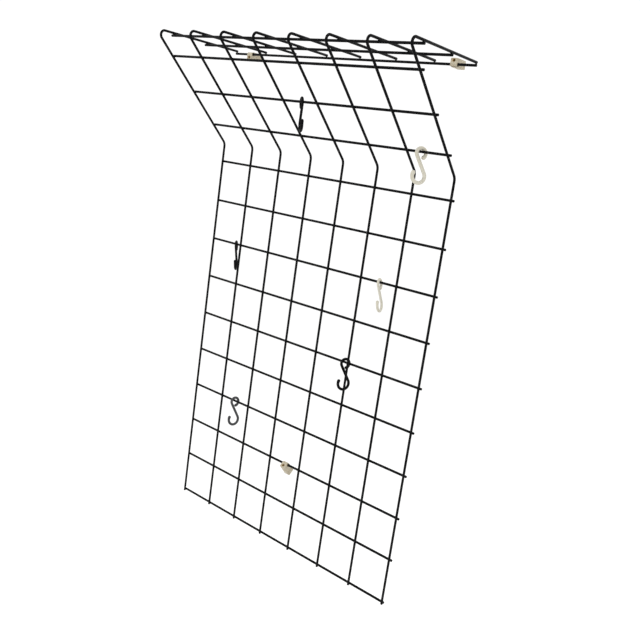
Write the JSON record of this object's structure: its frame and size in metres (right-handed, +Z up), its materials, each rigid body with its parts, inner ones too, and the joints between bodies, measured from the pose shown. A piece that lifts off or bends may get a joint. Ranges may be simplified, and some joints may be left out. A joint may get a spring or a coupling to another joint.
{
  "type": "wire grid wall rack",
  "caption": "Wall rack of welded coated wire: flat grid, part leaning out, fold back to a hat shelf, wall clips and S-hooks.",
  "frame": {"origin": "on the wall face of the left clip, level with the shelf's back wire, in the middle of the clip's width", "axes": "+Z up the rack, +Y into the wall, so the room is at -Y, and +X to the right as seen from the room"},
  "size_m": [0.6115, 0.2402, 1.0674],
  "materials": {
    "black_coat": "satin black plastic coat on steel wire",
    "grey_coat": "satin dark grey plastic coat on steel wire",
    "cream_coat": "satin cream plastic coat on steel wire",
    "clip_plastic": "aged cream moulded plastic"
  },
  "bodies": {
    "rack": {"long_wire_1": "black_coat", "long_wire_2": "black_coat", "long_wire_3": "black_coat", "long_wire_4": "black_coat", "long_wire_5": "black_coat", "long_wire_6": "black_coat", "long_wire_7": "black_coat", "long_wire_8": "black_coat", "cross_wire_1": "black_coat", "cross_wire_2": "black_coat", "cross_wire_3": "black_coat", "cross_wire_4": "black_coat", "cross_wire_5": "black_coat", "cross_wire_6": "black_coat", "cross_wire_7": "black_coat", "cross_wire_8": "black_coat", "cross_wire_9": "black_coat", "cross_wire_10": "black_coat", "cross_wire_11": "black_coat", "cross_wire_12": "black_coat", "cross_wire_13": "black_coat", "cross_wire_14": "black_coat", "cross_wire_15": "black_coat", "cross_wire_16": "black_coat", "wall_clip_left": "clip_plastic", "wall_clip_right": "clip_plastic"},
    "bottom_clip": {"wall_clip_bottom": "clip_plastic"},
    "hook_lean_centre": {"s_hook_lean_centre": "black_coat"},
    "hook_lean_right": {"s_hook_lean_right": "cream_coat"},
    "hook_upper_left": {"s_hook_upper_left": "black_coat"},
    "hook_upper_right": {"s_hook_upper_right": "cream_coat"},
    "hook_middle": {"s_hook_middle": "black_coat"},
    "hook_lower_left": {"s_hook_lower_left": "grey_coat"}
  },
  "joints": [
    {"name": "bottom_clip_swivel", "type": "hinge", "parent": "rack", "child": "bottom_clip", "pos_m": [0.2585, -0.0272, -0.87001], "axis": [1, 0, 0], "range_deg": [-40, 48]},
    {"name": "hook_lean_centre_swing", "type": "hinge", "parent": "rack", "child": "hook_lean_centre", "pos_m": [0.25675, -0.13112, -0.0998], "axis": [1, 0, 0], "range_deg": [-75, 75]},
    {"name": "hook_lean_right_swing", "type": "hinge", "parent": "rack", "child": "hook_lean_right", "pos_m": [0.49675, -0.0653, -0.16118], "axis": [1, 0, 0], "range_deg": [-75, 75]},
    {"name": "hook_upper_left_swing", "type": "hinge", "parent": "rack", "child": "hook_upper_left", "pos_m": [0.02425, -0.0272, -0.42001], "axis": [1, 0, 0], "range_deg": [-75, 15]},
    {"name": "hook_upper_right_swing", "type": "hinge", "parent": "rack", "child": "hook_upper_right", "pos_m": [0.42775, -0.0272, -0.42001], "axis": [1, 0, 0], "range_deg": [-75, 15]},
    {"name": "hook_middle_swing", "type": "hinge", "parent": "rack", "child": "hook_middle", "pos_m": [0.37415, -0.0272, -0.60001], "axis": [1, 0, 0], "range_deg": [0, 15]},
    {"name": "hook_lower_left_swing", "type": "hinge", "parent": "rack", "child": "hook_lower_left", "pos_m": [0.07925, -0.0272, -0.78001], "axis": [1, 0, 0], "range_deg": [-75, 15]}
  ]
}
